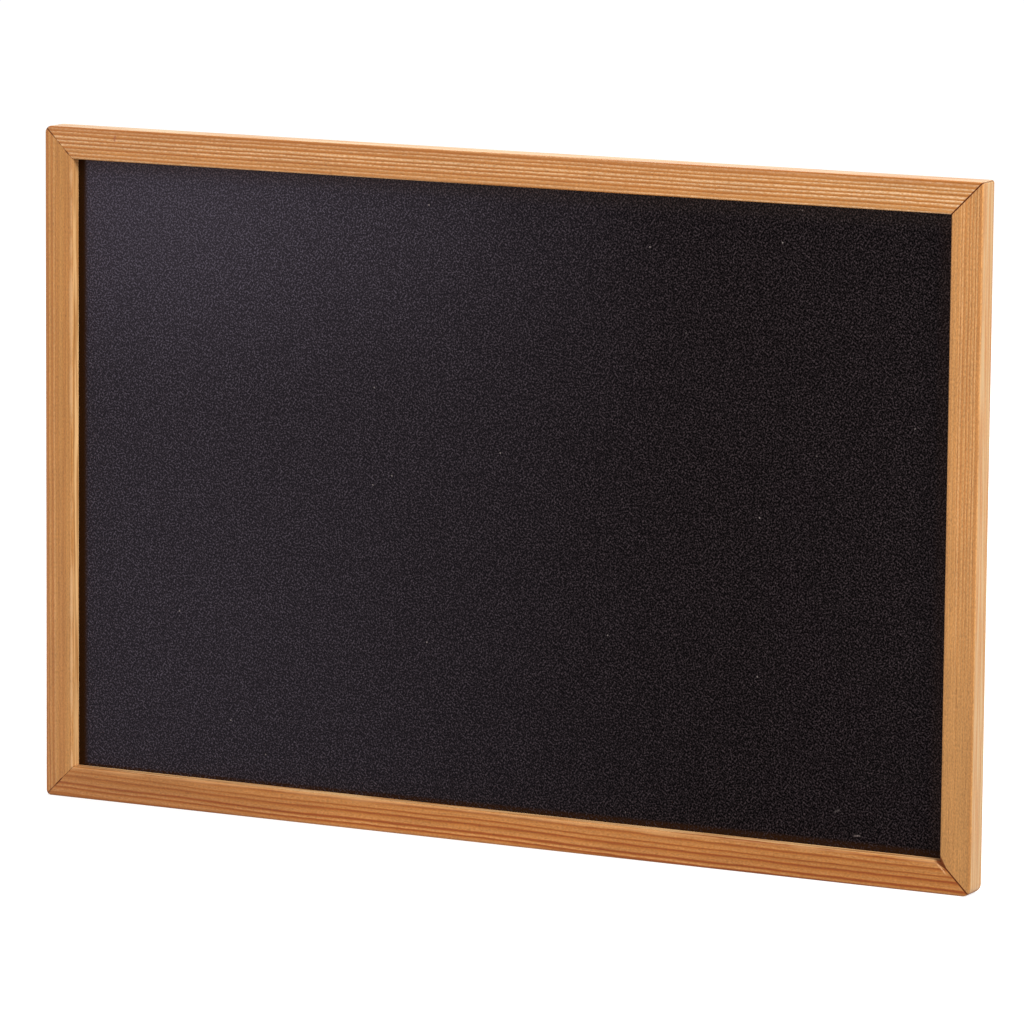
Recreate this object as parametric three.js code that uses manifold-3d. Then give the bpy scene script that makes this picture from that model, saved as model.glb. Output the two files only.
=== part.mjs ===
// Wall chalkboard: a mitred pine frame, a writing panel held in its groove, and two ring hangers.
// Millimetres. +X runs along the width, +Y towards the wall and +Z up.
// The origin is the middle of the bottom rail's underside.

import * as THREE from "three";
import { mergeVertices } from "three/addons/utils/BufferGeometryUtils.js";
import Module from "manifold-3d";

const wasm = await Module();
wasm.setup();

// Frame
const boardWidth = 300;
const boardHeight = 200;
const railWidth = 9.4;
const frontLip = 3.4;
const backLip = 1.4;
const arrisRadius = 0.5;
const mitreGap = 0.1;
const topLeftCornerRadius = 2;
const topRightCornerRadius = 0.8;
const bottomLeftCornerRadius = 1.6;
const bottomRightCornerRadius = 2.6;

// Writing panel, and the groove round the inner edge of the frame that holds it
const panelThickness = 3;
const panelEdgeEase = 0.3;
const panelEdgeRoom = 0.3;
const grooveDepth = 2.8;
const grooveSlack = 0.2;

// V-shaped corner nails, driven into the mitres from the back
const nailGauge = 0.6;
const nailWing = 3.2;
const nailHeight = 5;
const nailInset = 1.9;
const nailCurlRadius = 1.5;
const nailCurlAngle = Math.PI / 5;
const nailSetback = 0.2;
const nailKerfClearance = 0.15;

// Hanger straps: a steel strip folded round the ring, with both of its layers under the screw
const strapGauge = 0.5;
const strapWidth = 5;
const strapFoldGap = 0.1;
const strapNeckRadius = 0.6;
const strapTailLength = 8.2;
const strapHoleClearance = 0.15;
const hangerDrop = 40;

// Hanger rings: wire bent to a long loop, whose two ends meet inside the strap's fold
const ringWireDiameter = 1.2;
const ringInnerWidth = 5.6;
const ringInnerLength = 12.6;
const ringShoulderRadius = 0.9;
const ringBowRadius = 2.2;
const ringButtGap = 0.4;
const ringRunningClearance = 0.2;

// Hanger screws, pan-headed with a cross recess
const screwDiameter = 1.8;
const screwLength = 6.5;
const screwPointLength = 1.4;
const screwHeadDiameter = 3.8;
const screwHeadHeight = 1.3;
const screwHeadEdge = 0.4;
const screwRecessSpan = 2;
const screwRecessWidth = 0.45;
const screwRecessDepth = 0.55;
const screwBelowRing = 4.6;
const screwEdgeWood = 0.5;
const pilotClearance = 0.15;
const pilotEndRoom = 0.3;

// How far a cutting shape runs past the wood that it cuts
const cutOverrun = 1;

// Steps along curves. Outlines take two steps along each arc for every one counted here.
const cornerSteps = 5;
const arrisSteps = 3;
const foldSteps = 10;
const holeSteps = 10;
const wireSteps = 64;
const wireSectionSteps = 6;
const curlSteps = 4;
const screwSides = 24;
const headSteps = 5;
const samePointDistance = 0.0001;

// Share of a bend's radius at which a Bezier handle makes it a quarter of a circle
const quarterBendShare = 0.5523;

// Sizes that follow from those above
const grooveWidth = panelThickness + grooveSlack;
const railDepth = frontLip + grooveWidth + backLip;
const frontFace = -railDepth / 2;
const backFace = railDepth / 2;
const windowWidth = boardWidth - 2 * railWidth;
const windowHeight = boardHeight - 2 * railWidth;
const wireRadius = ringWireDiameter / 2;
const foldRadius = wireRadius + ringRunningClearance + strapGauge / 2;
const ringAxisOut = foldRadius + strapGauge / 2;
const strapStack = 2 * strapGauge + strapFoldGap;
const screwRadius = screwDiameter / 2;
const pilotRadius = screwRadius + pilotClearance;
const pilotDepth = screwLength - strapStack + pilotEndRoom;
const hangerInset = railWidth - grooveDepth - screwEdgeWood - pilotRadius;
const hangerSide = boardWidth / 2 - hangerInset;
const hangerHeight = boardHeight - hangerDrop;

const acrossAxis = new THREE.Vector3(1, 0, 0);
const wallAxis = new THREE.Vector3(0, 1, 0);
const upAxis = new THREE.Vector3(0, 0, 1);

// An outline drawn across and up, and pushed out towards the front.
const towardsFront = new THREE.Matrix4().makeBasis(acrossAxis, upAxis, wallAxis.clone().negate());
// An outline drawn outwards and up, and pushed out across the width.
const acrossWidth = new THREE.Matrix4().makeBasis(wallAxis, upAxis, acrossAxis);

function solidOf(geometry) {
  const bare = geometry.clone();
  bare.deleteAttribute("normal");
  bare.deleteAttribute("uv");
  const merged = mergeVertices(bare, samePointDistance);
  return new wasm.Manifold(
    new wasm.Mesh({
      numProp: 3,
      vertProperties: new Float32Array(merged.attributes.position.array),
      triVerts: new Uint32Array(merged.index.array),
    }),
  );
}

function geometryOf(solid) {
  const { vertProperties, triVerts } = solid.getMesh();
  const indexed = new THREE.BufferGeometry();
  indexed.setAttribute("position", new THREE.BufferAttribute(vertProperties, 3));
  indexed.setIndex(new THREE.BufferAttribute(triVerts, 1));
  const geometry = indexed.toNonIndexed();
  geometry.computeVertexNormals();
  return geometry;
}

function namedMesh(name, geometry, finish) {
  const mesh = new THREE.Mesh(geometry, new THREE.MeshStandardMaterial(finish));
  mesh.name = name;
  return mesh;
}

function shapeOf(points) {
  return new THREE.Shape(points.map(([x, y]) => new THREE.Vector2(x, y)));
}

function plainPrism(shape, depth) {
  return new THREE.ExtrudeGeometry(shape, { depth, bevelEnabled: false, curveSegments: holeSteps });
}

// A prism of the shape's own size whose edges are eased by the given radius.
function easedPrism(shape, depth, ease, steps) {
  return new THREE.ExtrudeGeometry(shape, {
    depth: depth - 2 * ease,
    bevelEnabled: true,
    bevelThickness: ease,
    bevelSize: ease,
    bevelOffset: -ease,
    bevelSegments: steps,
    curveSegments: cornerSteps,
  }).translate(0, 0, ease);
}

function centredRectangle(width, height, midHeight) {
  const side = width / 2;
  const low = midHeight - height / 2;
  const high = midHeight + height / 2;
  return [
    [-side, low],
    [side, low],
    [side, high],
    [-side, high],
  ];
}

// The edge view of a strip of the given gauge whose middle follows the points.
function stripShape(points, gauge) {
  const path = points.filter(
    (point, i) => i === 0 || point.distanceTo(points[i - 1]) > samePointDistance,
  );
  const oneSide = [];
  const otherSide = [];
  path.forEach((point, i) => {
    const ahead = path[Math.min(i + 1, path.length - 1)].clone();
    const behind = path[Math.max(i - 1, 0)];
    const leaving = i < path.length - 1 ? ahead.sub(point).normalize() : null;
    const arriving = i > 0 ? point.clone().sub(behind).normalize() : leaving;
    const along = (leaving ?? arriving).clone().add(arriving).normalize();
    const reach = gauge / 2 / along.dot(arriving);
    const normal = new THREE.Vector2(-along.y, along.x).multiplyScalar(reach);
    oneSide.push(point.clone().add(normal));
    otherSide.unshift(point.clone().sub(normal));
  });
  return new THREE.Shape([...otherSide, ...oneSide]);
}

// Frame

// The board's outline seen from the front, with each outer corner sanded to its own radius.
function sandedOutline() {
  const side = boardWidth / 2;
  const quarter = Math.PI / 2;
  const corners = [
    [side, 0, -1, 1, bottomRightCornerRadius],
    [side, boardHeight, -1, -1, topRightCornerRadius],
    [-side, boardHeight, 1, -1, topLeftCornerRadius],
    [-side, 0, 1, 1, bottomLeftCornerRadius],
  ];
  const shape = new THREE.Shape();
  corners.forEach(([x, z, inX, inZ, radius], i) => {
    const from = (i - 1) * quarter;
    shape.absarc(x + inX * radius, z + inZ * radius, radius, from, from + quarter);
  });
  shape.closePath();
  return shape;
}

// The four rails before they are cut apart: one eased ring with the panel's groove round its window.
function framedRing() {
  const outline = sandedOutline();
  const window = centredRectangle(windowWidth, windowHeight, boardHeight / 2);
  outline.holes.push(new THREE.Path(window.map(([x, z]) => new THREE.Vector2(x, z))));
  const ring = easedPrism(outline, railDepth, arrisRadius, arrisSteps)
    .applyMatrix4(towardsFront)
    .translate(0, backFace, 0);
  const grooveShape = shapeOf(
    centredRectangle(
      windowWidth + 2 * grooveDepth,
      windowHeight + 2 * grooveDepth,
      boardHeight / 2,
    ),
  );
  const groove = plainPrism(grooveShape, grooveWidth)
    .applyMatrix4(towardsFront)
    .translate(0, backFace - backLip, 0);
  return solidOf(ring).subtract(solidOf(groove));
}

// The wedge of space that one rail keeps, between the mitre planes at its two ends.
function mitreWedge(length) {
  const setback = (mitreGap / 2) * Math.SQRT2;
  const outer = length / 2 + cutOverrun - setback;
  const inner = length / 2 - railWidth - cutOverrun - setback;
  const shape = shapeOf([
    [-outer, -cutOverrun],
    [outer, -cutOverrun],
    [inner, railWidth + cutOverrun],
    [-inner, railWidth + cutOverrun],
  ]);
  return plainPrism(shape, railDepth + 2 * cutOverrun)
    .applyMatrix4(towardsFront)
    .translate(0, backFace + cutOverrun, 0);
}

// Each rail's name, its outer length, its turn about the wall axis and the middle of its outer edge
const rails = [
  ["bottom_rail", boardWidth, 0, 0, 0],
  ["top_rail", boardWidth, Math.PI, 0, boardHeight],
  ["left_stile", boardHeight, Math.PI / 2, -boardWidth / 2, boardHeight / 2],
  ["right_stile", boardHeight, -Math.PI / 2, boardWidth / 2, boardHeight / 2],
];

// Each outer corner's name, its place, and the turn that points a nail's wings into the frame
const corners = [
  ["bottom_left", -boardWidth / 2, 0, 0],
  ["bottom_right", boardWidth / 2, 0, -Math.PI / 2],
  ["top_right", boardWidth / 2, boardHeight, Math.PI],
  ["top_left", -boardWidth / 2, boardHeight, Math.PI / 2],
];

// Corner nails

// Half of the V's middle line, from its point to the curled end of one wing and on by any extra.
function wingPoints(extra) {
  const points = [new THREE.Vector2(nailInset, nailInset)];
  const straightEnd = nailInset + nailWing;
  for (let i = 0; i <= curlSteps; i += 1) {
    const angle = (nailCurlAngle * i) / curlSteps;
    points.push(
      new THREE.Vector2(
        straightEnd + nailCurlRadius * Math.sin(angle),
        nailInset - nailCurlRadius * (1 - Math.cos(angle)),
      ),
    );
  }
  const end = points[points.length - 1];
  const onwards = new THREE.Vector2(Math.cos(nailCurlAngle), -Math.sin(nailCurlAngle));
  points.push(end.clone().add(onwards.multiplyScalar(extra)));
  return points;
}

// The V from wing end to wing end, thickened and lengthened all round by the given clearance.
function nailShape(clearance) {
  const wing = wingPoints(clearance);
  const otherWing = wing.slice(1).map((point) => new THREE.Vector2(point.y, point.x));
  return stripShape([...otherWing.reverse(), ...wing], nailGauge + 2 * clearance);
}

function nailGeometry() {
  return plainPrism(nailShape(0), nailHeight)
    .applyMatrix4(towardsFront)
    .translate(0, -nailSetback, 0);
}

function kerfGeometry() {
  const depth = nailSetback + nailHeight + nailKerfClearance + cutOverrun;
  return plainPrism(nailShape(nailKerfClearance), depth)
    .applyMatrix4(towardsFront)
    .translate(0, cutOverrun, 0);
}

// Hangers, drawn with the wood's back face at zero and the ring's axis at zero height

function strapPath() {
  const woodLayer = strapGauge / 2;
  const outerLayer = strapStack - strapGauge / 2;
  // The strip leaves the fold through a reverse bend that lays it on the first layer.
  const neckOut = outerLayer + strapNeckRadius;
  const neckShift = neckOut - ringAxisOut;
  const bendReach = foldRadius + strapNeckRadius;
  const neckDrop = Math.sqrt(bendReach ** 2 - neckShift ** 2);
  const foldEnd = Math.atan2(-neckDrop, neckShift);
  const path = new THREE.Path();
  path.moveTo(woodLayer, -strapTailLength);
  path.lineTo(woodLayer, 0);
  path.absarc(ringAxisOut, 0, foldRadius, Math.PI, foldEnd, true);
  path.absarc(neckOut, -neckDrop, strapNeckRadius, foldEnd + Math.PI, Math.PI, false);
  path.lineTo(outerLayer, -strapTailLength);
  return path.getPoints(foldSteps);
}

// The strap seen from behind: square at the fold and round at the tail.
function strapOutline() {
  const side = strapWidth / 2;
  const top = ringAxisOut + strapGauge;
  const outline = new THREE.Shape();
  outline.moveTo(side, top);
  outline.lineTo(-side, top);
  outline.lineTo(-side, side - strapTailLength);
  outline.absarc(0, side - strapTailLength, side, Math.PI, 2 * Math.PI, false);
  outline.lineTo(side, top);
  const hole = new THREE.Path();
  hole.absarc(0, -screwBelowRing, screwRadius + strapHoleClearance, 0, 2 * Math.PI, true);
  outline.holes.push(hole);
  return outline;
}

function strapGeometry() {
  const blankWidth = strapWidth + 2 * cutOverrun;
  const folded = plainPrism(stripShape(strapPath(), strapGauge), blankWidth)
    .applyMatrix4(acrossWidth)
    .translate(-blankWidth / 2, 0, 0);
  const standOut = ringAxisOut + foldRadius + strapGauge / 2;
  const stamped = plainPrism(strapOutline(), standOut + 2 * cutOverrun)
    .applyMatrix4(towardsFront)
    .translate(0, standOut + cutOverrun, 0);
  return geometryOf(solidOf(folded).intersect(solidOf(stamped)));
}

// A wire's middle line: straight runs between the points, with a bend of the given radius at each.
function bentWire(points, radii) {
  const route = new THREE.CurvePath();
  let from = points[0];
  points.slice(1).forEach((corner, i) => {
    const radius = radii[i];
    const next = points[i + 2];
    if (!next) {
      route.add(new THREE.LineCurve3(from, corner));
      return;
    }
    const arriving = corner.clone().sub(from).normalize();
    const leaving = next.clone().sub(corner).normalize();
    const start = corner.clone().addScaledVector(arriving, -radius);
    const end = corner.clone().addScaledVector(leaving, radius);
    const handle = radius * quarterBendShare;
    route.add(new THREE.LineCurve3(from, start));
    route.add(
      new THREE.CubicBezierCurve3(
        start,
        start.clone().addScaledVector(arriving, handle),
        end.clone().addScaledVector(leaving, -handle),
        end,
      ),
    );
    from = end;
  });
  return route;
}

// The ring as it hangs: its bar lies on the axis and its bow below.
function ringGeometry() {
  const side = (ringInnerWidth + ringWireDiameter) / 2;
  const drop = ringInnerLength + ringWireDiameter;
  const butt = ringButtGap / 2;
  const route = bentWire(
    [
      new THREE.Vector3(butt, 0, 0),
      new THREE.Vector3(side, 0, 0),
      new THREE.Vector3(side, 0, -drop),
      new THREE.Vector3(-side, 0, -drop),
      new THREE.Vector3(-side, 0, 0),
      new THREE.Vector3(-butt, 0, 0),
    ],
    [ringShoulderRadius, ringBowRadius, ringBowRadius, ringShoulderRadius],
  );
  const section = new THREE.Shape();
  section.absarc(0, 0, wireRadius, 0, 2 * Math.PI);
  return new THREE.ExtrudeGeometry(section, {
    steps: wireSteps,
    extrudePath: route,
    curveSegments: wireSectionSteps,
  });
}

// The screw stands on the strap, with its head's underside at zero and its point in the wood.
function screwGeometry() {
  const headRadius = screwHeadDiameter / 2;
  const domeHeight = screwHeadHeight - screwHeadEdge;
  const profile = [
    new THREE.Vector2(0, -screwLength),
    new THREE.Vector2(screwRadius, screwPointLength - screwLength),
    new THREE.Vector2(screwRadius, 0),
    new THREE.Vector2(headRadius, 0),
  ];
  for (let i = 0; i <= headSteps; i += 1) {
    const angle = (i / headSteps) * (Math.PI / 2);
    const radius = i < headSteps ? headRadius * Math.cos(angle) : 0;
    profile.push(new THREE.Vector2(radius, screwHeadEdge + domeHeight * Math.sin(angle)));
  }
  let screw = solidOf(new THREE.LatheGeometry(profile, screwSides));
  for (const [spanX, spanZ] of [
    [screwRecessSpan, screwRecessWidth],
    [screwRecessWidth, screwRecessSpan],
  ]) {
    const height = screwRecessDepth + cutOverrun;
    const slot = new THREE.BoxGeometry(spanX, height, spanZ);
    slot.translate(0, screwHeadHeight - screwRecessDepth + height / 2, 0);
    screw = screw.subtract(solidOf(slot));
  }
  return geometryOf(screw);
}

function pilotGeometry(side) {
  const pilot = new THREE.CylinderGeometry(
    pilotRadius,
    pilotRadius,
    pilotDepth + cutOverrun,
    2 * holeSteps,
  );
  const middle = backFace + (cutOverrun - pilotDepth) / 2;
  return pilot.translate(side * hangerSide, middle, hangerHeight - screwBelowRing);
}

// Finishes

const pine = { color: 0xd09a62, roughness: 0.6, metalness: 0 };
const chalkCoat = { color: 0x242024, roughness: 0.55, metalness: 0 };
const zincedSteel = { color: 0xb9bbbd, roughness: 0.38, metalness: 1 };

// Assembly

const board = new THREE.Group();

const allKerfs = corners.map(([, x, z, turn]) =>
  solidOf(kerfGeometry().rotateY(turn).translate(x, backFace, z)),
);
const allPilots = [-1, 1].map((side) => solidOf(pilotGeometry(side)));
const drilledRing = [...allKerfs, ...allPilots].reduce(
  (ring, cutter) => ring.subtract(cutter),
  framedRing(),
);

for (const [name, length, turn, x, z] of rails) {
  const wedge = mitreWedge(length).rotateY(turn).translate(x, 0, z);
  board.add(namedMesh(name, geometryOf(drilledRing.intersect(solidOf(wedge))), pine));
}

const panelShape = shapeOf(
  centredRectangle(
    windowWidth + 2 * (grooveDepth - panelEdgeRoom),
    windowHeight + 2 * (grooveDepth - panelEdgeRoom),
    0,
  ),
);
const panelGeometry = easedPrism(panelShape, panelThickness, panelEdgeEase, 1);
const panel = namedMesh("writing_panel", panelGeometry.applyMatrix4(towardsFront), chalkCoat);
panel.position.set(0, frontFace + frontLip + panelThickness, boardHeight / 2);
board.add(panel);

for (const [place, x, z, turn] of corners) {
  const nail = namedMesh(`corner_nail_${place}`, nailGeometry(), zincedSteel);
  nail.position.set(x, backFace, z);
  nail.rotation.y = turn;
  board.add(nail);
}

for (const [place, side] of [
  ["left", -1],
  ["right", 1],
]) {
  const hanger = new THREE.Group();
  hanger.position.set(side * hangerSide, backFace, hangerHeight);
  const strap = namedMesh(`hanger_strap_${place}`, strapGeometry(), zincedSteel);
  const ring = namedMesh(`hanger_ring_${place}`, ringGeometry(), zincedSteel);
  const screw = namedMesh(`hanger_screw_${place}`, screwGeometry(), zincedSteel);
  ring.position.y = ringAxisOut;
  screw.position.set(0, strapStack, -screwBelowRing);
  hanger.add(strap, ring, screw);
  board.add(hanger);
}

export default board;
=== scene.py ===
import math

import bpy
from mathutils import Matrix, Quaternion, Vector


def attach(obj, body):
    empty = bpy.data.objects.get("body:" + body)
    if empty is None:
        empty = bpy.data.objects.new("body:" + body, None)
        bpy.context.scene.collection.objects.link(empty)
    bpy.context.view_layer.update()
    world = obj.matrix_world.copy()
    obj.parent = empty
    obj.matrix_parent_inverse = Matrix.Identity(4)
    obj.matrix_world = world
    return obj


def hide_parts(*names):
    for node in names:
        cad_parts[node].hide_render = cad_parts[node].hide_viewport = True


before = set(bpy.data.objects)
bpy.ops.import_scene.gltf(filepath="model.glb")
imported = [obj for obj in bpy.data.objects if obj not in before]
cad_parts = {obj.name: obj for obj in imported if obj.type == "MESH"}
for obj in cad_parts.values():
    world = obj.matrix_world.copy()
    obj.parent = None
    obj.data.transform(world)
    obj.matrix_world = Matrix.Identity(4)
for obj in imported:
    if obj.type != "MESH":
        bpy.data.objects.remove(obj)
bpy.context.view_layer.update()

# A wall chalkboard: a mitred pine frame, a black writing panel and two ring hangers behind.
# Metres. +X runs along the width, +Y towards the wall and +Z up.

MM = 0.001
BOARD_WIDTH = 300 * MM
BOARD_HEIGHT = 200 * MM
RAIL_WIDTH = 9.4 * MM
FRONT_FACE = -4 * MM
PANEL_FACE = -0.6 * MM

# The hangers' rings: the hinge's place on the right, and the wire.
HINGE_X = 144.95 * MM
HINGE_Y = 5.3 * MM
HINGE_Z = 160 * MM
WIRE_RADIUS = 0.6 * MM
RING_INNER_WIDTH = 5.6 * MM
RING_INNER_LENGTH = 12.6 * MM
RING_SHOULDER = 0.9 * MM
RING_BOW = 2.2 * MM
RING_BUTT = 0.4 * MM
WIRE_SIDES = 20
BEND_STEPS = 12
SHARP_EDGE = math.radians(50)


# Nodes

FLOAT, COLOUR, VECTOR = "NodeSocketFloat", "NodeSocketColor", "NodeSocketVector"
WHITE = (1.0, 1.0, 1.0, 1.0)


def feed(tree, node, inputs):
    """Fills a node's inputs. One given as a socket is linked, and any other is set."""
    for key, value in inputs.items():
        if isinstance(value, bpy.types.NodeSocket):
            tree.links.new(value, node.inputs[key])
        else:
            node.inputs[key].default_value = value


def add(tree, kind, inputs=None, **settings):
    """Adds a node with these settings and inputs."""
    node = tree.nodes.new(kind)
    for name, value in settings.items():
        setattr(node, name, value)
    feed(tree, node, inputs or {})
    return node


def maths(tree, operation, *values):
    """The result of a Math node on these values."""
    return add(tree, "ShaderNodeMath", dict(enumerate(values)), operation=operation).outputs[0]


def product(tree, first, *others):
    """All these values multiplied."""
    for value in others:
        first = maths(tree, "MULTIPLY", first, value)
    return first


def centred(tree, value):
    """A value from 0 to 1, moved to lie about 0."""
    return maths(tree, "SUBTRACT", value, 0.5)


def vector_maths(tree, operation, *values):
    """The result of a Vector Math node: its number for LENGTH, and its vector for the rest."""
    node = add(tree, "ShaderNodeVectorMath", dict(enumerate(values)), operation=operation)
    return node.outputs["Value" if operation == "LENGTH" else "Vector"]


def combine(tree, x, y, z):
    """A vector of these three values."""
    return add(tree, "ShaderNodeCombineXYZ", {"X": x, "Y": y, "Z": z}).outputs[0]


def separate(tree, vector):
    """A vector's three values."""
    return add(tree, "ShaderNodeSeparateXYZ", {"Vector": vector}).outputs


def span(tree, value, start, end, first=0.0, last=1.0):
    """A smooth step from first to last as the value goes from start to end."""
    inputs = {0: value, 1: start, 2: end, 3: first, 4: last}
    return add(tree, "ShaderNodeMapRange", inputs, interpolation_type="SMOOTHSTEP").outputs[0]


def fade(tree, value, start, end):
    """1 up to start, easing to 0 at end."""
    return span(tree, value, start, end, 1.0, 0.0)


def mix(tree, share, first, second, blend="MIX"):
    """Two colours mixed by the share of the second."""
    inputs = {0: share, 6: first, 7: second}
    settings = {"data_type": "RGBA", "blend_type": blend, "clamp_factor": True}
    return add(tree, "ShaderNodeMix", inputs, **settings).outputs[2]


def tinted(tree, colour, tint):
    """A colour multiplied by another."""
    return mix(tree, 1.0, colour, tint, "MULTIPLY")


def noise(tree, vector, scale, detail=2.0, roughness=0.5, distortion=0.0, dimensions="3D"):
    """Noise from 0 to 1."""
    inputs = {
        "Vector": vector,
        "Scale": scale,
        "Detail": detail,
        "Roughness": roughness,
        "Distortion": distortion,
    }
    return add(tree, "ShaderNodeTexNoise", inputs, noise_dimensions=dimensions).outputs[0]


def shader_group(name, inputs, outputs):
    """A new shader node group: its tree, its input sockets and its output node."""
    tree = bpy.data.node_groups.new(name, "ShaderNodeTree")
    for label, (kind, value) in inputs.items():
        socket = tree.interface.new_socket(label, in_out="INPUT", socket_type=kind)
        if value is not None:
            socket.default_value = value
    for label in outputs:
        kind = COLOUR if label == "Color" else FLOAT
        tree.interface.new_socket(label, in_out="OUTPUT", socket_type=kind)
    return tree, tree.nodes.new("NodeGroupInput").outputs, tree.nodes.new("NodeGroupOutput")


def use(tree, group, inputs):
    """Places a shader node group with its own values, and gives its outputs."""
    node = tree.nodes.new("ShaderNodeGroup")
    node.node_tree = group
    feed(tree, node, inputs)
    return node.outputs


def rgb(red, green, blue):
    """A colour as a screen shows it, from 0 to 255, made linear."""
    def linear(value):
        share = value / 255
        return share / 12.92 if share <= 0.04045 else ((share + 0.055) / 1.055) ** 2.4
    return (linear(red), linear(green), linear(blue), 1.0)


def new_object(name, data):
    """A new object in the scene."""
    made = bpy.data.objects.new(name, data)
    bpy.context.scene.collection.objects.link(made)
    return made


def point_at(made, place, aim, roll=0.0):
    """Puts a camera or a lamp at a place, aims it at a point and rolls it about its own axis."""
    made.location = place
    made.rotation_mode = "QUATERNION"
    facing = (Vector(aim) - Vector(place)).to_track_quat("-Z", "Y")
    made.rotation_quaternion = facing @ Quaternion((0, 0, 1), roll)


# Camera

LENS = 244.30
SENSOR_WIDTH = 36
CAMERA_PLACE = (0.90652, -1.74736, 0.39791)
CAMERA_AIM = (0.00341, 0.0, 0.09663)
CAMERA_ROLL = math.radians(0.4986)


def make_camera():
    """The camera at the photograph's angle, with the photograph's slight roll."""
    data = bpy.data.cameras.new("camera")
    data.lens, data.sensor_width = LENS, SENSOR_WIDTH
    data.clip_start, data.clip_end = 0.01, 50
    camera = new_object("camera", data)
    point_at(camera, CAMERA_PLACE, CAMERA_AIM, CAMERA_ROLL)
    bpy.context.scene.camera = camera


# Floor, world and lamps

WORLD_LEVEL = 0.4
FLOOR_HALF = 4.0
FLOOR_GREY = (0.55, 0.55, 0.55, 1)
FLOOR_GLOW_STARTS = 0.2
FLOOR_GLOW_ENDS = 0.6
FLOOR_GLOW_NEAR = 0.62
FLOOR_GLOW_FAR = 0.8
FLOOR_GLOW_REFLECTED = 0.45

# Each lamp's place, its width and height, its power and its colour. All point at the board's middle.
LAMPS = {
    "key": ((1.25, -0.6, 0.95), (0.6, 0.6), 24.0, (1, 1, 1)),
    "left_fill": ((-1.05, -1.35, 0.46), (0.7, 0.9), 6.0, (0.93, 0.84, 1.0)),
    "overhead": ((-0.15, 0.55, 1.1), (0.8, 0.5), 12.0, (1, 1, 1)),
}


def light_paths(tree):
    """1 for what the camera sees straight on, and 1 for what a reflection or a pane shows."""
    path = tree.nodes.new("ShaderNodeLightPath").outputs
    reflected = maths(tree, "MAXIMUM", path["Is Glossy Ray"], path["Is Transmission Ray"])
    return path["Is Camera Ray"], reflected


def make_world():
    """White wherever it is seen, and a plain even light on the board."""
    world = bpy.data.worlds.new("studio")
    world.use_nodes = True
    tree = world.node_tree
    tree.nodes.clear()
    seen = maths(tree, "MAXIMUM", *light_paths(tree))
    level = maths(tree, "MULTIPLY_ADD", seen, 1.0 - WORLD_LEVEL, WORLD_LEVEL)
    background = add(tree, "ShaderNodeBackground", {"Color": WHITE, "Strength": level})
    add(tree, "ShaderNodeOutputWorld", {"Surface": background.outputs[0]})
    bpy.context.scene.world = world


def make_floor():
    """A pale floor that shows white and still takes the board's soft shadow."""
    mesh = bpy.data.meshes.new("floor")
    corners = [(-1, -1), (1, -1), (1, 1), (-1, 1)]
    mesh.from_pydata([(x * FLOOR_HALF, y * FLOOR_HALF, 0) for x, y in corners], [], [(0, 1, 2, 3)])
    floor = new_object("floor", mesh)
    material = bpy.data.materials.new("floor_paper")
    material.use_nodes = True
    tree = material.node_tree
    tree.nodes.clear()
    straight, reflected = light_paths(tree)
    distance = vector_maths(tree, "LENGTH", tree.nodes.new("ShaderNodeTexCoord").outputs["Object"])
    seen = span(tree, distance, FLOOR_GLOW_STARTS, FLOOR_GLOW_ENDS, FLOOR_GLOW_NEAR, FLOOR_GLOW_FAR)
    level = maths(tree, "MAXIMUM", product(tree, straight, seen),
                  product(tree, reflected, FLOOR_GLOW_REFLECTED))
    paper = add(tree, "ShaderNodeBsdfDiffuse", {"Color": FLOOR_GREY})
    glow = add(tree, "ShaderNodeEmission", {"Color": WHITE, "Strength": level})
    both = add(tree, "ShaderNodeAddShader", {0: paper.outputs[0], 1: glow.outputs[0]})
    add(tree, "ShaderNodeOutputMaterial", {"Surface": both.outputs[0]})
    mesh.materials.append(material)


def make_lamps():
    """Soft rectangular lamps round the board."""
    for name, (place, size, power, colour) in LAMPS.items():
        data = bpy.data.lights.new(name, "AREA")
        data.shape = "RECTANGLE"
        data.size, data.size_y = size
        data.energy, data.color = power, colour
        point_at(new_object(name, data), place, (0, 0, BOARD_HEIGHT / 2))


# Shared effects

# The pine's noises: patches in a metre along the stick and across it, detail and roughness.
PINE_NOISES = {
    "slow": (14, 45, 2.0, 0.5),
    "quick": (180, 1200, 2.0, 0.5),
    "broken": (900, 1500, 1.0, 0.5),
    "fibre": (60, 3000, 3.0, 0.6),
    "grain": (1300, 2400, 1.0, 0.6),
    "cloud": (30, 260, 2.0, 0.5),
    "streak": (5, 850, 1.0, 0.5),
    "band": (28, 850, 2.0, 0.5),
    "fleck": (600, 2200, 0.0, 0.5),
}
FIBRE_SHADE = 1.1
GRAIN_SHADE = 1.3
CLOUD_SHADE = 0.3
FLECK_SHADE = -0.2

# The opened glue line at the lower right: its length from the window.
OPENED_LENGTH = 0.0025
# How much faster an arris fades down the narrow face than across the front.
ARRIS_STEEPNESS = 4.0
# Patches in a metre: along the glue line's edge, in its filling, along a ragged arris and in a knock.
GLUE_EDGE_SCALE = 900.0
GLUE_FILL_SCALE = 320.0
ARRIS_SCALE = 60.0
KNOCK_SCALE = 2600.0


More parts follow.
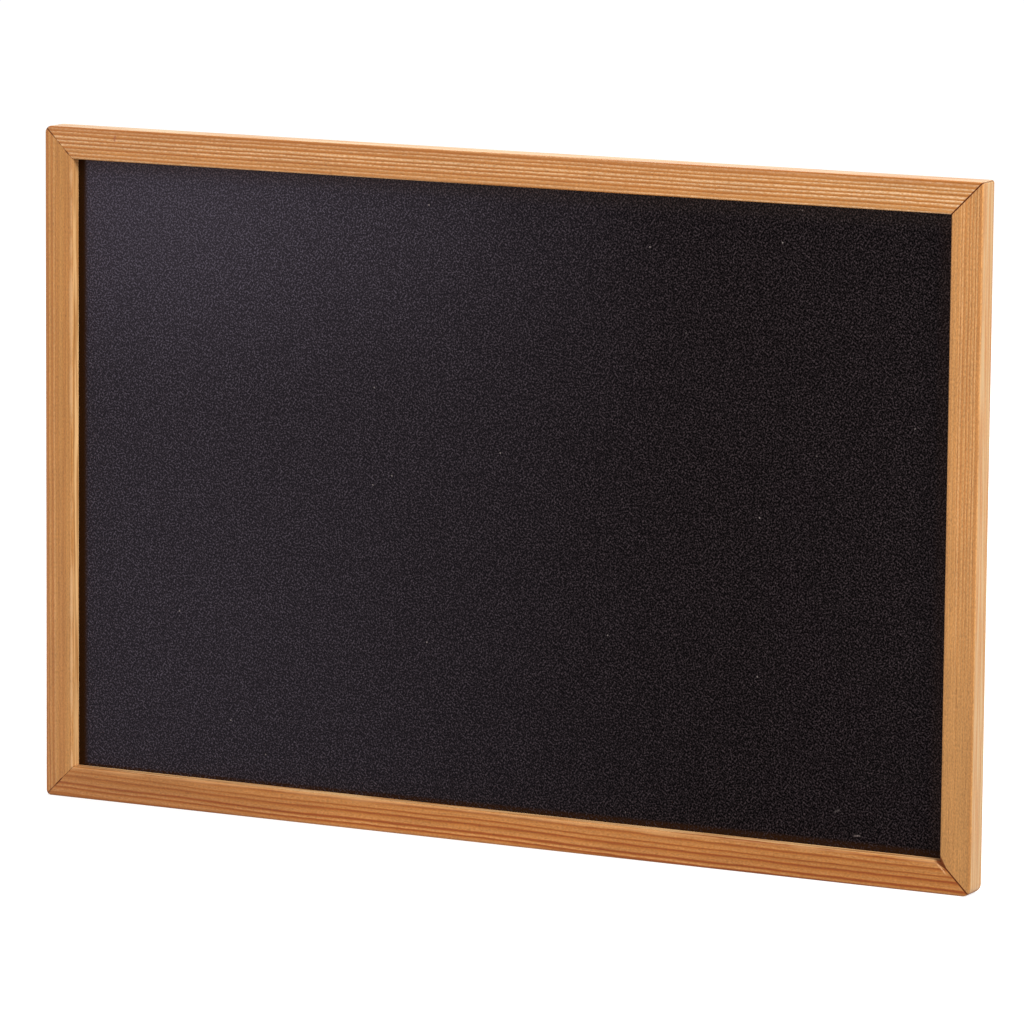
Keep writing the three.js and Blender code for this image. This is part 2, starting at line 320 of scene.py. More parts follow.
def make_pine_grain():
    """Growth rings, fibres and flecks of a stick of pine, sawn at some distance from the tree's pith.

    Position runs along the stick, across its front from the outer edge, and back from its front face.
    """
    inputs = {
        "Position": (VECTOR, None),
        "Seed": (FLOAT, 0.0),
        "Pith Across": (FLOAT, -0.06),
        "Pith Depth": (FLOAT, 0.0),
        "Run Out": (FLOAT, 0.0),
        "Ring Pitch": (FLOAT, 0.0013),
        "Waviness": (FLOAT, 0.0004),
        "Ring Wander": (FLOAT, 0.5),
        "Ring Contrast": (FLOAT, 0.8),
        "Pale Contrast": (FLOAT, 0.6),
        "Grain Contrast": (FLOAT, 0.5),
        "Streak Contrast": (FLOAT, 0.1),
        "Body": (COLOUR, rgb(200, 142, 86)),
        "Pale": (COLOUR, rgb(228, 180, 130)),
        "Latewood": (COLOUR, rgb(180, 112, 52)),
    }
    tree, given, out = shader_group("pine_grain", inputs, ["Color", "Roughness", "Height", "Band"])
    seed = given["Seed"]
    place = vector_maths(tree, "ADD", given["Position"], combine(tree, seed, seed, seed))
    noises = {}
    for name, (patches_along, patches_across, detail, roughness) in PINE_NOISES.items():
        patches = (patches_along, patches_across, patches_across)
        stretched = vector_maths(tree, "MULTIPLY", place, patches)
        noises[name] = noise(tree, stretched, 1.0, detail, roughness)

    # The rings waver slowly along the stick, and a little from fibre to fibre.
    along, across, depth = separate(tree, given["Position"])
    across = maths(tree, "SUBTRACT", across, given["Pith Across"])
    across = maths(tree, "ADD", across, product(tree, along, given["Run Out"]))
    depth = maths(tree, "SUBTRACT", depth, given["Pith Depth"])
    radius = vector_maths(tree, "LENGTH", combine(tree, 0.0, across, depth))
    slow_shift = product(tree, centred(tree, noises["slow"]), given["Waviness"])
    radius = maths(tree, "MULTIPLY_ADD", slow_shift, 2.0, radius)
    count = maths(tree, "DIVIDE", radius, given["Ring Pitch"])
    count = maths(tree, "MULTIPLY_ADD", centred(tree, noises["quick"]), 0.25, count)
    uneven = add(tree, "ShaderNodeTexNoise", {"W": maths(tree, "ADD", count, seed), "Scale": 0.45},
                 noise_dimensions="1D").outputs[0]
    uneven = product(tree, centred(tree, uneven), given["Ring Wander"])
    count = maths(tree, "MULTIPLY_ADD", uneven, 2.0, count)

    # A ring starts pale, darkens towards its latewood, and stops short at the next one.
    share = maths(tree, "FRACT", count)
    number = maths(tree, "ADD", maths(tree, "FLOOR", count), seed)
    each = add(tree, "ShaderNodeTexWhiteNoise", {"W": number}, noise_dimensions="1D").outputs[0]
    latewood = product(tree, span(tree, share, 0.5, 0.85), fade(tree, share, 0.92, 1.0),
                       maths(tree, "MULTIPLY_ADD", each, 0.7, 0.5))
    paling = product(tree, span(tree, share, 0.0, 0.12), fade(tree, share, 0.25, 0.58),
                     maths(tree, "MULTIPLY_ADD", each, 0.8, 0.5),
                     span(tree, noises["broken"], 0.3, 0.7, 0.4, 1.3))

    # The rings and broad streaks give the colour, and the fibres, grain and flecks its shade.
    streak = span(tree, noises["streak"], 0.35, 0.65)
    fleck = span(tree, noises["fleck"], 0.7, 0.8)
    colour = mix(tree, product(tree, paling, given["Pale Contrast"]), given["Body"], given["Pale"])
    darker = product(tree, latewood, given["Ring Contrast"])
    darker = maths(tree, "MULTIPLY_ADD", streak, given["Streak Contrast"], darker)
    colour = mix(tree, darker, colour, given["Latewood"])
    level = maths(tree, "ADD", product(tree, centred(tree, noises["fibre"]), FIBRE_SHADE),
                  product(tree, centred(tree, noises["grain"]), GRAIN_SHADE))
    level = maths(tree, "MULTIPLY_ADD", level, given["Grain Contrast"], 1.0)
    level = maths(tree, "MULTIPLY_ADD", centred(tree, noises["cloud"]), CLOUD_SHADE, level)
    level = product(tree, level, maths(tree, "MULTIPLY_ADD", fleck, FLECK_SHADE, 1.0))
    rough = maths(tree, "MULTIPLY_ADD", noises["fibre"], 0.16, 0.42)
    feed(tree, out, {
        "Color": tinted(tree, colour, combine(tree, level, level, level)),
        "Roughness": maths(tree, "MULTIPLY_ADD", latewood, -0.08, rough),
        "Height": maths(tree, "MULTIPLY_ADD", latewood, 0.5, product(tree, noises["fibre"], 0.35)),
        "Band": span(tree, noises["band"], 0.35, 0.65),
    })
    return tree


def make_frame_edges():
    """Where a point lies: on a mitre's glue line, by a front arris, or on a rail's narrow face."""
    inputs = {
        "Position": (VECTOR, None),
        "Line Width": (FLOAT, 0.00028),
        "Opening": (FLOAT, 0.0013),
        "Top Left": (FLOAT, 0.5),
        "Top Right": (FLOAT, 0.5),
        "Bottom Left": (FLOAT, 0.5),
        "Bottom Right": (FLOAT, 0.5),
        "Outer Width": (FLOAT, 0.0008),
        "Inner Width": (FLOAT, 0.0008),
        "Inner Raggedness": (FLOAT, 0.3),
    }
    outputs = ["Mitre", "Outer Arris", "Inner Arris", "Inner Face", "Outer Face"]
    tree, given, out = shader_group("frame_edges", inputs, outputs)
    x, y, z = separate(tree, given["Position"])
    from_side = maths(tree, "SUBTRACT", BOARD_WIDTH / 2, maths(tree, "ABSOLUTE", x))
    from_end = maths(tree, "MINIMUM", z, maths(tree, "SUBTRACT", BOARD_HEIGHT, z))
    from_edge = maths(tree, "MINIMUM", from_side, from_end)
    from_window = maths(tree, "ABSOLUTE", maths(tree, "SUBTRACT", from_edge, RAIL_WIDTH))
    depth = maths(tree, "SUBTRACT", y, FRONT_FACE)

    # Each mitre's glue line has its own strength, and shows a little more by the outer corner.
    off_line = maths(tree, "ABSOLUTE", maths(tree, "SUBTRACT", from_side, from_end))
    off_line = product(tree, off_line, math.sqrt(0.5))
    right = maths(tree, "GREATER_THAN", x, 0.0)
    upper = maths(tree, "GREATER_THAN", z, BOARD_HEIGHT / 2)
    low = span(tree, right, 0.0, 1.0, given["Bottom Left"], given["Bottom Right"])
    high = span(tree, right, 0.0, 1.0, given["Top Left"], given["Top Right"])
    by_corner = span(tree, from_edge, 0.003, 0.006, 0.12, 0.0)
    strength = maths(tree, "ADD", span(tree, upper, 0.0, 1.0, low, high), by_corner)
    # The bottom right mitre has opened at the window.
    opening = product(tree, maths(tree, "SUBTRACT", right, upper), given["Opening"],
                      span(tree, from_edge, RAIL_WIDTH - OPENED_LENGTH, RAIL_WIDTH))
    opened = maths(tree, "ADD", given["Line Width"], opening)
    width = maths(tree, "MAXIMUM", opened, given["Line Width"])
    uneven = noise(tree, given["Position"], GLUE_EDGE_SCALE, 2.0)
    filled = noise(tree, given["Position"], GLUE_FILL_SCALE, 1.0)
    line = product(tree, fade(tree, off_line, product(tree, width, uneven), width),
                   span(tree, maths(tree, "ADD", filled, strength), 0.85, 1.15))

    # An arris fades across the front, and faster down the narrow face. The inner one is ragged.
    down = product(tree, depth, ARRIS_STEEPNESS)
    ragged = product(tree, centred(tree, noise(tree, given["Position"], ARRIS_SCALE, 3.0)),
                     product(tree, given["Inner Raggedness"], 5.0))
    ragged = maths(tree, "MAXIMUM", maths(tree, "ADD", ragged, 1.0), 0.2)
    inner_width = product(tree, given["Inner Width"], ragged)
    behind = span(tree, depth, 0.0002, 0.0005)
    feed(tree, out, {
        "Mitre": product(tree, line, span(tree, depth, 0.0004, 0.0012, 1.0, 0.5)),
        "Outer Arris": fade(tree, maths(tree, "ADD", from_edge, down), 0.0, given["Outer Width"]),
        "Inner Arris": fade(tree, maths(tree, "ADD", from_window, down), 0.0, inner_width),
        "Inner Face": product(tree, fade(tree, from_window, 0.0002, 0.0004), behind),
        "Outer Face": product(tree, fade(tree, from_edge, 0.0002, 0.0004), behind),
    })
    return tree


def make_scuffs():
    """Fine rubbed marks and a patchy bloom for metal. Scale is the bloom's patches in a metre."""
    inputs = {"Position": (VECTOR, None), "Scale": (FLOAT, 1500.0)}
    tree, given, out = shader_group("scuffs", inputs, ["Bloom", "Rub"])
    bloom = noise(tree, given["Position"], given["Scale"], 4.0, 0.6)
    stretched = vector_maths(tree, "MULTIPLY", given["Position"], (0.15, 1.0, 1.0))
    rub = noise(tree, stretched, product(tree, given["Scale"], 5.0), 3.0, 0.7, 0.4)
    feed(tree, out, {"Bloom": span(tree, bloom, 0.35, 0.7), "Rub": rub})
    return tree


def make_knock():
    """One short straight mark on the board, soft at its ends. Lean is its angle from level."""
    inputs = {
        "Position": (VECTOR, None),
        "Across": (FLOAT, 0.0),
        "Up": (FLOAT, 0.0),
        "Lean": (FLOAT, 0.0),
        "Length": (FLOAT, 0.002),
        "Width": (FLOAT, 0.0004),
    }
    tree, given, out = shader_group("knock", inputs, ["Mask"])
    place = separate(tree, given["Position"])
    x = maths(tree, "SUBTRACT", place["X"], given["Across"])
    z = maths(tree, "SUBTRACT", place["Z"], given["Up"])
    cosine = maths(tree, "COSINE", given["Lean"])
    sine = maths(tree, "SINE", given["Lean"])
    along = maths(tree, "ADD", product(tree, x, cosine), product(tree, z, sine))
    off = maths(tree, "SUBTRACT", product(tree, z, cosine), product(tree, x, sine))
    uneven = noise(tree, given["Position"], KNOCK_SCALE, 1.0)
    end = maths(tree, "DIVIDE", maths(tree, "ABSOLUTE", along), given["Length"])
    side = maths(tree, "DIVIDE", maths(tree, "ABSOLUTE", off), given["Width"])
    mask = product(tree, fade(tree, end, 0.3, 0.5), fade(tree, side, 0.15, 0.5),
                   span(tree, uneven, 0.2, 0.6))
    feed(tree, out, {"Mask": mask})
    return tree


groups = {
    "pine_grain": make_pine_grain(),
    "frame_edges": make_frame_edges(),
    "scuffs": make_scuffs(),
    "knock": make_knock(),
}


# Materials

# How strongly each mitre's glue line shows.
MITRES = {"Top Left": 0.42, "Top Right": 0.95, "Bottom Left": 0.38, "Bottom Right": 0.85}
GLUE_LINE = rgb(108, 52, 16)
PINE_SHINE = 0.3
PINE_RELIEF = 0.00003
PLAIN_BAND_BLUR = 0.0005
PLAIN_BAND_FADE = -0.75

# The panel. Noise scales are patches in a metre.
COAT_HOLLOW = rgb(1, 1, 1)
COAT_PEBBLE = rgb(70, 60, 62)
# Painted sheen: the coat's reflection towards the upper left, painted into its colour.
PAINTED_SHEEN = rgb(86, 80, 90)
CHALK_SPECK = rgb(150, 140, 134)
# Painted light that lifts the shade on the coat under the top rail.
PAINTED_LIGHT_UNDER_TOP = rgb(110, 94, 86)
# Painted light that lifts the shade on the coat along the right stile.
PAINTED_LIGHT_BY_RIGHT = rgb(84, 67, 60)
# Painted reflection of the rails' inner faces, dark brown, along the coat's left and lower sides.
PAINTED_RAIL_REFLECTION = rgb(43, 24, 8)
BOARD_DARK = rgb(92, 58, 36)
BOARD_LIGHT = rgb(140, 98, 62)
BOARD_TONE = rgb(112, 76, 48)
PEBBLE_SCALE = 1930.0
PEBBLE_TURN = 0.6
MOTTLE_SCALE = 650.0
SHEEN_SCALE = 12.0
SPECK_SCALE = 170.0
SPECK_CHOICE = 0.9
FIBRE_SCALE = 1800.0
TONE_SCALE = 60.0
SCREEN_PITCH = 0.0013
SCRATCHES = [
    {"tone": rgb(128, 116, 112), "strength": 0.8, "place": (113.8, 13.3), "lean": 4, "size": (2.6, 0.7)},
    {"tone": rgb(110, 100, 98), "strength": 0.45, "place": (107.4, 19.8), "lean": 28, "size": (2.4, 0.7)},
]
COAT_EDGE = PANEL_FACE + 0.25 * MM
COAT_SHINE = 0.02
COAT_SHINE_TINT = (1.0, 0.8, 0.85, 1.0)
PANEL_RELIEF = 0.0001

STEEL_RELIEF = 0.00001


def new_material(name):
    """A material with an empty shader: it, its tree, the place on the board and the shader."""
    material = bpy.data.materials.new(name)
    material.use_nodes = True
    tree = material.node_tree
    tree.nodes.clear()
    position = tree.nodes.new("ShaderNodeTexCoord").outputs["Object"]
    shader = tree.nodes.new("ShaderNodeBsdfPrincipled")
    add(tree, "ShaderNodeOutputMaterial", {"Surface": shader.outputs[0]})
    return material, tree, position, shader


def bump(tree, height, distance):
    """A normal that stands up by this distance where the height is 1."""
    inputs = {"Height": height, "Distance": distance, "Strength": 1.0}
    return add(tree, "ShaderNodeBump", inputs).outputs[0]


def knock(tree, position, colour, tone, strength, place, lean, size):
    """The colour with one short mark in this tone laid over it. place and size are in millimetres."""
    across, up = place
    length, width = size
    mask = use(tree, groups["knock"], {
        "Position": position,
        "Across": across * MM,
        "Up": up * MM,
        "Lean": math.radians(lean),
        "Length": length * MM,
        "Width": width * MM,
    })["Mask"]
    return mix(tree, product(tree, mask, strength), colour, tone)


def make_pine(name, lie, grain, edges, plain_band=None, plain_ends=(), knocks=()):
    """One rail's pine.

    lie is the axis that the rail runs along, the place of its outer edge and the way from there to the
    window. In the plain band across the front the rings are faint. Each plain end has a ring contrast and
    a tint, and its wood turns into the full wood from start to end along the rail. edges has a tone
    and a strength for each part of the rail's edges that is darker or paler. The paler tones on the
    narrow faces turned to the lamps and on the left and bottom rails' inner arrises are painted light (on
    the top face together with a paler wood).
    """
    material, tree, position, shader = new_material(name)
    run, edge, inward = lie
    place = separate(tree, position)
    across = maths(tree, "SUBTRACT", place["Z" if run == "X" else "X"], edge)
    across = product(tree, across, inward)
    laid = combine(tree, place[run], across, maths(tree, "SUBTRACT", place["Y"], FRONT_FACE))
    contrast, paleness = grain["Ring Contrast"], grain["Pale Contrast"]
    if plain_band:
        start, end = plain_band
        inside = product(tree, span(tree, across, start - PLAIN_BAND_BLUR, start + PLAIN_BAND_BLUR),
                         fade(tree, across, end - PLAIN_BAND_BLUR, end + PLAIN_BAND_BLUR))
        faint = maths(tree, "MULTIPLY_ADD", inside, PLAIN_BAND_FADE, 1.0)
        contrast = product(tree, faint, contrast)
        paleness = product(tree, faint, paleness)
    tints = []
    for plain in plain_ends:
        past = span(tree, place[run], plain["start"], plain["end"])
        faint = maths(tree, "MULTIPLY_ADD", past, 1.0 - plain["contrast"], plain["contrast"])
        contrast = product(tree, faint, contrast)
        paleness = product(tree, faint, paleness)
        tints.append(mix(tree, past, (*plain["tint"], 1.0), WHITE))
    wood = use(tree, groups["pine_grain"], {
        "Position": laid, **grain, "Ring Contrast": contrast, "Pale Contrast": paleness})
    widths = {key: value for key, value in edges.items() if key.endswith(("Width", "Raggedness"))}
    lines = use(tree, groups["frame_edges"], {"Position": position, **MITRES, **widths})
    colour = wood["Color"]
    for tint in tints:
        colour = tinted(tree, colour, tint)
    # On the narrow faces the tone, painted light where a face turns to the lamps, breaks up along the
    # wood's bands, and their darker lines show.
    broken = maths(tree, "MULTIPLY_ADD", wood["Band"], -1.3, 1.6)
    for part in ("Outer Arris", "Inner Arris", "Inner Face", "Outer Face"):
        if part not in edges:
            continue
        tone, strength = edges[part]
        share = product(tree, lines[part], strength)
        if part.endswith("Face"):
            colour = mix(tree, product(tree, share, broken), colour, tone)
            share = product(tree, lines[part], wood["Band"], 0.3)
            tone = grain["Latewood"]
        colour = mix(tree, share, colour, tone)
    for mark in knocks:
        colour = knock(tree, position, colour, **mark)
    feed(tree, shader, {
        "Base Color": mix(tree, lines["Mitre"], colour, GLUE_LINE),
        "Roughness": maths(tree, "MAXIMUM", wood["Roughness"], lines["Mitre"]),
        "Normal": bump(tree, wood["Height"], PINE_RELIEF),
        "Specular IOR Level": PINE_SHINE,
    })
    return material


def chalk_coat(tree, position):
    """The panel's front: its colour, and the height of its pebbles."""
    place = separate(tree, position)
    x, z = place["X"], place["Z"]

    # A pebbled coat. Its noise is turned, so that the noise's own rows don't run with the board.
    turned = add(tree, "ShaderNodeVectorRotate",
                 {"Vector": combine(tree, x, z, 0.0), "Angle": PEBBLE_TURN},
                 rotation_type="Z_AXIS").outputs[0]
    grain = noise(tree, turned, PEBBLE_SCALE, 1.0, dimensions="2D")
    mottle = noise(tree, position, MOTTLE_SCALE, 1.0)
    pebble = maths(tree, "POWER", span(tree, grain, 0.1, 0.9), 3.0)
    pebble = product(tree, pebble, span(tree, mottle, 0.3, 0.7, 0.8, 1.3))
    coat = mix(tree, pebble, COAT_HOLLOW, COAT_PEBBLE)

    # A painted sheen towards the upper left, standing in for the coat's reflection, then a few loose
    # specks and two small scratches.
    cloud = noise(tree, position, SHEEN_SCALE, 3.0, 0.55)
    sideways = span(tree, maths(tree, "MULTIPLY_ADD", cloud, 0.05, x), 0.11, -0.115)
    upwards = span(tree, z, 0.115, 0.185, 0.56, 1.15)
    painted_sheen = product(tree, sideways, upwards, span(tree, pebble, 0.0, 0.9, 0.27, 1.4))
    coat = mix(tree, painted_sheen, coat, PAINTED_SHEEN)
    cell = add(tree, "ShaderNodeTexVoronoi", {"Vector": position, "Scale": SPECK_SCALE}).outputs
    chosen = maths(tree, "GREATER_THAN", separate(tree, cell["Color"])["X"], SPECK_CHOICE)
    speck = product(tree, fade(tree, cell["Distance"], 0.02, 0.06), chosen, 0.7)
    coat = mix(tree, speck, coat, CHALK_SPECK)
    for mark in SCRATCHES:
        coat = knock(tree, position, coat, **mark)

    # Painted light lifts the shade under the top rail and along the right side, and a dark brown painted
    # reflection of the rails' inner faces lies along the left and lower sides, the left and the lower
    # ones most.
    on_pebbles = maths(tree, "ADD", pebble, 0.12)
    from_top = maths(tree, "SUBTRACT", BOARD_HEIGHT - RAIL_WIDTH, z)
    lit_under_top = product(tree, span(tree, from_top, 0.0, 0.006, 0.45, 0.0), on_pebbles)
    coat = mix(tree, lit_under_top, coat, PAINTED_LIGHT_UNDER_TOP)
    # Painted light along the right side, where the right stile shades the coat.
    from_right = maths(tree, "SUBTRACT", BOARD_WIDTH / 2 - RAIL_WIDTH, x)
    lit_by_right = product(tree, span(tree, from_right, 0.002, 0.006, 0.5, 0.0), on_pebbles)
    coat = mix(tree, lit_by_right, coat, PAINTED_LIGHT_BY_RIGHT)
    # A painted reflection of the left and bottom rails' inner faces, as a dark brown band.
    from_left = maths(tree, "ADD", x, BOARD_WIDTH / 2 - RAIL_WIDTH)
    reflection_left = fade(tree, from_left, 0.0017, 0.0036)
    from_bottom = maths(tree, "SUBTRACT", z, RAIL_WIDTH)
    reach = span(tree, x, -0.14, 0.1, 0.0012, 0.0026)
    reflection_bottom = product(tree, span(tree, from_bottom, product(tree, reach, 0.5), reach, 0.9, 0.0),
                          span(tree, pebble, 0.05, 0.6, 1.0, 0.35))
    coat = mix(tree, maths(tree, "MAXIMUM", reflection_left, reflection_bottom), coat, PAINTED_RAIL_REFLECTION)
    return coat, pebble


def pressed_board(tree, position):
    """The panel's back: its colour, its fibres and the height of the press screen's woven mark."""
    place = separate(tree, position)
    fibres = noise(tree, position, FIBRE_SCALE, 4.0, 0.7, 1.2)
    tone = noise(tree, position, TONE_SCALE, 3.0)
    board = mix(tree, span(tree, fibres, 0.3, 0.7), BOARD_DARK, BOARD_LIGHT)
    board = mix(tree, product(tree, tone, 0.5), board, BOARD_TONE)
    wave_x = maths(tree, "SINE", product(tree, place["X"], 2 * math.pi / SCREEN_PITCH))
    wave_z = maths(tree, "SINE", product(tree, place["Z"], 2 * math.pi / SCREEN_PITCH))
    return board, fibres, product(tree, wave_x, wave_z)


def make_panel_material():
    """A matt black chalk coat on the front of a brown hardboard with a bare back."""
    material, tree, position, shader = new_material("chalk_coat_on_hardboard")
    coat, pebble = chalk_coat(tree, position)
    board, fibres, screen = pressed_board(tree, position)
    on_front = maths(tree, "LESS_THAN", separate(tree, position)["Y"], COAT_EDGE)
    back_height = maths(tree, "MULTIPLY_ADD", fibres, 0.6, screen)
    coat_rough = maths(tree, "MULTIPLY_ADD", pebble, 0.1, 0.25)
    feed(tree, shader, {
        "Base Color": mix(tree, on_front, board, coat),
        "Roughness": span(tree, on_front, 0.0, 1.0, 0.75, coat_rough),
        "Normal": bump(tree, span(tree, on_front, 0.0, 1.0, back_height, pebble), PANEL_RELIEF),
        "Specular IOR Level": COAT_SHINE,
        "Specular Tint": COAT_SHINE_TINT,
    })
    return material


def make_steel(name, base, bloom, scale, smoothest, roughest):
    """Zinced steel: its base colour, the colour of its bloom and the marks' scale and roughness."""
    material, tree, position, shader = new_material(name)
    marks = use(tree, groups["scuffs"], {"Position": position, "Scale": scale})
    feed(tree, shader, {
        "Base Color": mix(tree, product(tree, marks["Bloom"], 0.6), base, bloom),
        "Roughness": span(tree, marks["Rub"], 0.3, 0.7, smoothest, roughest),
        "Normal": bump(tree, marks["Rub"], STEEL_RELIEF),
        "Metallic": 1.0,
    })
    return material


# Wire rings

def make_bent_wire():
    """A Geometry Nodes tree: a path of straight stretches becomes a round wire, bent at its corners."""
    tree = bpy.data.node_groups.new("bent_wire", "GeometryNodeTree")
    tree.interface.new_socket("Geometry", in_out="INPUT", socket_type="NodeSocketGeometry")
    tree.interface.new_socket("Wire Radius", in_out="INPUT", socket_type=FLOAT)
    tree.interface.new_socket("Material", in_out="INPUT", socket_type="NodeSocketMaterial")
    tree.interface.new_socket("Geometry", in_out="OUTPUT", socket_type="NodeSocketGeometry")
    given = tree.nodes.new("NodeGroupInput").outputs

    path = add(tree, "GeometryNodeMeshToCurve", {"Mesh": given["Geometry"]}).outputs[0]
    bend = add(tree, "GeometryNodeInputNamedAttribute", {"Name": "bend_radius"},
               data_type="FLOAT").outputs[0]
    corners = {"Curve": path, "Count": BEND_STEPS, "Radius": bend, "Limit Radius": True}
    bent = add(tree, "GeometryNodeFilletCurve", corners, mode="POLY").outputs[0]
    section = add(tree, "GeometryNodeCurvePrimitiveCircle",
                  {"Resolution": WIRE_SIDES, "Radius": given["Wire Radius"]}, mode="RADIUS").outputs[0]
    wire = add(tree, "GeometryNodeCurveToMesh",
               {"Curve": bent, "Profile Curve": section, "Fill Caps": True}).outputs[0]

    # The wire is smooth all round, apart from the rims of its two cut ends.
    angle = tree.nodes.new("GeometryNodeInputMeshEdgeAngle").outputs[0]
    sharp = add(tree, "FunctionNodeCompare", {0: angle, 1: SHARP_EDGE},
                data_type="FLOAT", operation="GREATER_THAN").outputs[0]
    wire = add(tree, "GeometryNodeSetShadeSmooth", {"Geometry": wire, "Shade Smooth": True}).outputs[0]
    rims = {"Geometry": wire, "Selection": sharp, "Shade Smooth": False}
    wire = add(tree, "GeometryNodeSetShadeSmooth", rims, domain="EDGE").outputs[0]
    wire = add(tree, "GeometryNodeRealizeInstances", {"Geometry": wire}).outputs[0]
    wire = add(tree, "GeometryNodeSetMaterial",
               {"Geometry": wire, "Material": given["Material"]}).outputs[0]
    tree.links.new(wire, tree.nodes.new("NodeGroupOutput").inputs[0])
    return tree


def bake(piece):
    """Puts the shape that the piece's modifier makes into its mesh, and takes the modifier off."""
    shaped = piece.evaluated_get(bpy.context.evaluated_depsgraph_get())
    mesh = bpy.data.meshes.new_from_object(shaped)
    piece.modifiers.clear()
    piece.data = mesh


def make_ring(side, tree, material):
    """A hanger's rectangular ring: its wire turns in the strap's fold and meets end to end there."""
    axis = Vector([HINGE_X * (-1 if side == "left" else 1), HINGE_Y, HINGE_Z])
    half_width = RING_INNER_WIDTH / 2 + WIRE_RADIUS
    drop = RING_INNER_LENGTH + 2 * WIRE_RADIUS
    route = [(RING_BUTT / 2, 0, 0), (half_width, 0, 0), (half_width, 0, -drop),
             (-half_width, 0, -drop), (-half_width, 0, 0), (-RING_BUTT / 2, 0, 0)]
    bends = [0, RING_SHOULDER, RING_BOW, RING_BOW, RING_SHOULDER, 0]
    stretches = [(i, i + 1) for i in range(len(route) - 1)]
    mesh = bpy.data.meshes.new(f"ring_wire_{side}")
    mesh.from_pydata([axis + Vector(point) for point in route], stretches, [])
    mesh.attributes.new("bend_radius", "FLOAT", "POINT").data.foreach_set("value", bends)
    ring = new_object(f"ring_wire_{side}", mesh)
    bend = ring.modifiers.new("bent_wire", "NODES")
    bend.node_group = tree
    sockets = {item.name: item.identifier for item in tree.interface.items_tree
               if item.in_out == "INPUT"}
    bend[sockets["Wire Radius"]] = WIRE_RADIUS
    bend[sockets["Material"]] = material
    bake(ring)
    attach(ring, f"{side}_ring")
    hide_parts(f"hanger_ring_{side}")


# The four rails' pine

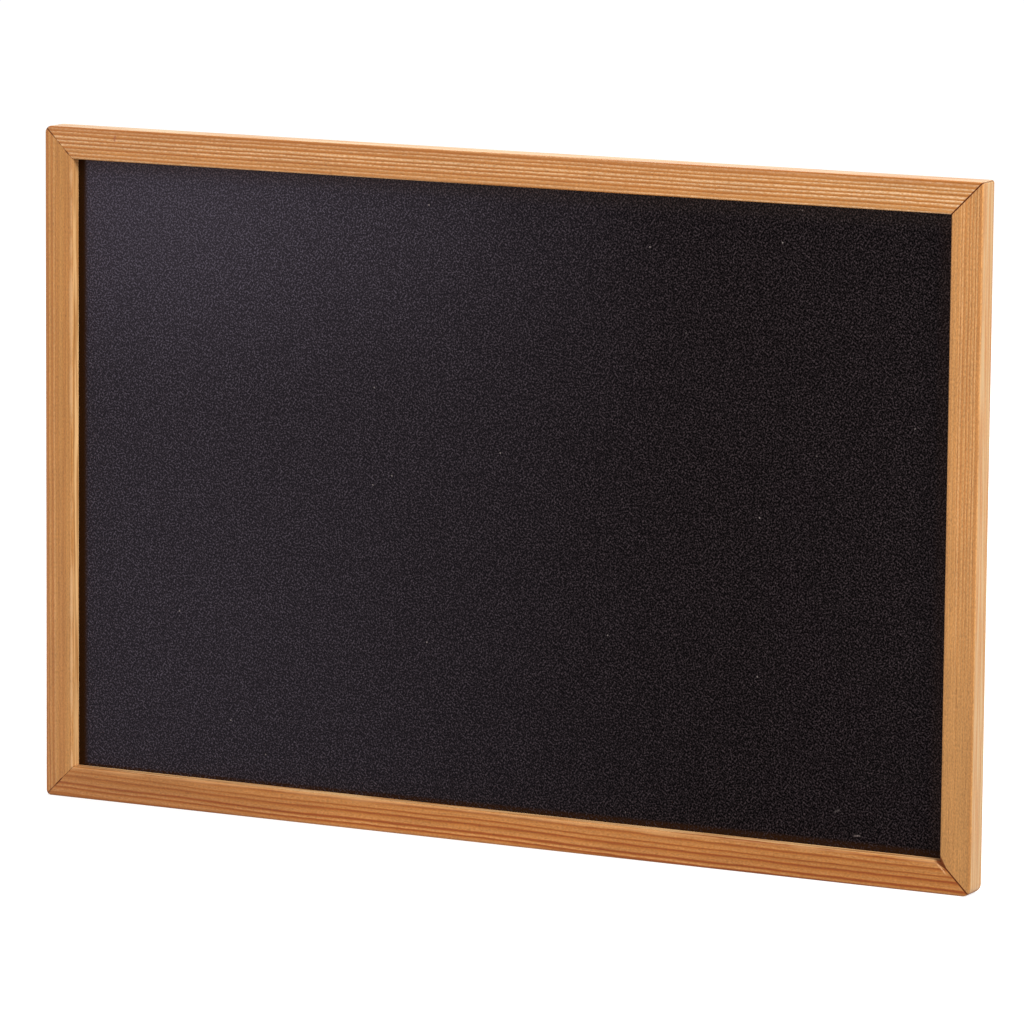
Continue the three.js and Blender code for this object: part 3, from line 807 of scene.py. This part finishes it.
PINES = {
    "top_rail": {
        "lie": ("X", BOARD_HEIGHT, -1),
        "grain": {
            "Seed": 3.1, "Pith Across": -0.09, "Pith Depth": -0.004, "Run Out": -0.006,
            "Ring Pitch": 0.0012, "Waviness": 0.0004, "Ring Wander": 0.3, "Ring Contrast": 0.9,
            "Pale Contrast": 0.75, "Grain Contrast": 0.5,
            "Body": rgb(192, 130, 66), "Pale": rgb(228, 182, 132), "Latewood": rgb(172, 100, 32),
        },
        "edges": {
            "Outer Arris": (rgb(166, 94, 30), 0.5), "Outer Width": 0.003,
            "Inner Arris": (rgb(226, 178, 126), 0.5), "Inner Width": 0.0008,
            # The top face's creamy tone: partly a paler wood, partly a painted sheen from the light
            # above.
            "Outer Face": (rgb(196, 170, 130), 0.75),
        },
        "plain_ends": [{"start": 0.14, "end": 0.02, "contrast": 1.05, "tint": (1.03, 1.1, 1.22)}],
        "knocks": [
            {"tone": rgb(150, 78, 50), "strength": 0.7, "place": (-126.2, 197.4), "lean": 84,
             "size": (2.2, 1.1)},
        ],
    },
    "bottom_rail": {
        "lie": ("X", 0.0, 1),
        "grain": {
            "Seed": 8.4, "Pith Across": -0.05, "Pith Depth": -0.01, "Run Out": 0.01,
            "Ring Pitch": 0.0018, "Waviness": 0.0011, "Ring Wander": 0.5, "Ring Contrast": 1.15,
            "Pale Contrast": 0.65, "Grain Contrast": 0.5,
            "Body": rgb(195, 124, 54), "Pale": rgb(219, 156, 92), "Latewood": rgb(160, 79, 22),
        },
        "edges": {
            "Outer Arris": (rgb(146, 82, 28), 0.6), "Outer Width": 0.0012,
            # A painted highlight along the inner arris, and painted light on the inner face that looks
            # up.
            "Inner Arris": (rgb(220, 162, 102), 0.85), "Inner Width": 0.0013, "Inner Raggedness": 0.5,
            "Inner Face": (rgb(246, 197, 138), 0.85),
        },
        "plain_ends": [
            {"start": -0.12, "end": -0.03, "contrast": 0.6, "tint": (0.83, 0.865, 1.02)},
            {"start": 0.12, "end": 0.0, "contrast": 1.0, "tint": (0.85, 0.83, 0.78)},
        ],
        "knocks": [
            {"tone": rgb(236, 180, 126), "strength": 0.8, "place": (141.2, 7.3), "lean": -45,
             "size": (4.6, 0.7)},
            {"tone": rgb(120, 62, 22), "strength": 0.5, "place": (-101.5, 5.2), "lean": 0,
             "size": (1.4, 0.9)},
        ],
    },
    "left_stile": {
        "lie": ("Z", -BOARD_WIDTH / 2, 1),
        "grain": {
            "Seed": 5.7, "Pith Across": -0.05, "Pith Depth": -0.03, "Run Out": 0.003,
            "Ring Pitch": 0.001, "Waviness": 0.0006, "Ring Wander": 1.1, "Ring Contrast": 0.45,
            "Pale Contrast": 0.55, "Grain Contrast": 0.5, "Streak Contrast": 0.3,
            "Body": rgb(190, 132, 65), "Pale": rgb(211, 156, 97), "Latewood": rgb(162, 90, 36),
        },
        "edges": {
            "Outer Arris": (rgb(168, 92, 34), 0.65), "Outer Width": 0.0012,
            # A painted highlight along the inner arris, and painted light on the inner face turned to the
            # key lamp.
            "Inner Arris": (rgb(240, 196, 142), 0.7), "Inner Width": 0.0009, "Inner Raggedness": 1.0,
            "Inner Face": (rgb(250, 198, 136), 0.65),
        },
        "plain_band": (0.0036, 0.0085),
        "plain_ends": [{"start": 0.04, "end": 0.14, "contrast": 1.0, "tint": (1.0, 1.02, 1.16)}],
    },
    "right_stile": {
        "lie": ("Z", BOARD_WIDTH / 2, -1),
        "grain": {
            "Seed": 1.9, "Pith Across": -0.054, "Pith Depth": -0.026, "Run Out": 0.002,
            "Ring Pitch": 0.001, "Waviness": 0.0005, "Ring Wander": 0.8, "Ring Contrast": 0.65,
            "Pale Contrast": 0.6, "Grain Contrast": 0.7, "Streak Contrast": 0.1,
            "Body": rgb(194, 137, 76), "Pale": rgb(212, 160, 104), "Latewood": rgb(172, 102, 42),
        },
        "edges": {
            "Outer Arris": (rgb(166, 96, 38), 0.65), "Outer Width": 0.001,
            # Painted light on the outer face turned to the key lamp.
            "Outer Face": (rgb(200, 168, 124), 0.5),
        },
        "plain_band": (0.0066, 0.0105),
        "plain_ends": [{"start": 0.03, "end": 0.12, "contrast": 0.15, "tint": (0.915, 0.94, 0.95)}],
    },
}


make_camera()
make_world()
make_floor()
make_lamps()

pines = {name: make_pine(f"pine_{name}", **facts) for name, facts in PINES.items()}
panel_material = make_panel_material()
stamped_steel = make_steel("zinced_steel", rgb(178, 180, 182), rgb(150, 154, 160), 900.0, 0.26, 0.44)
wire_steel = make_steel("zinced_wire", rgb(188, 189, 188), rgb(160, 162, 166), 1400.0, 0.22, 0.38)

for name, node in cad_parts.items():
    if name in pines:
        finish = pines[name]
    elif name == "writing_panel":
        finish = panel_material
    elif name.startswith("hanger_ring"):
        finish = wire_steel
    else:
        finish = stamped_steel
    for place in node.material_slots:
        place.material = finish

bent_wire = make_bent_wire()
for side in ("left", "right"):
    make_ring(side, bent_wire, wire_steel)

bpy.context.scene.view_settings.view_transform = "Standard"
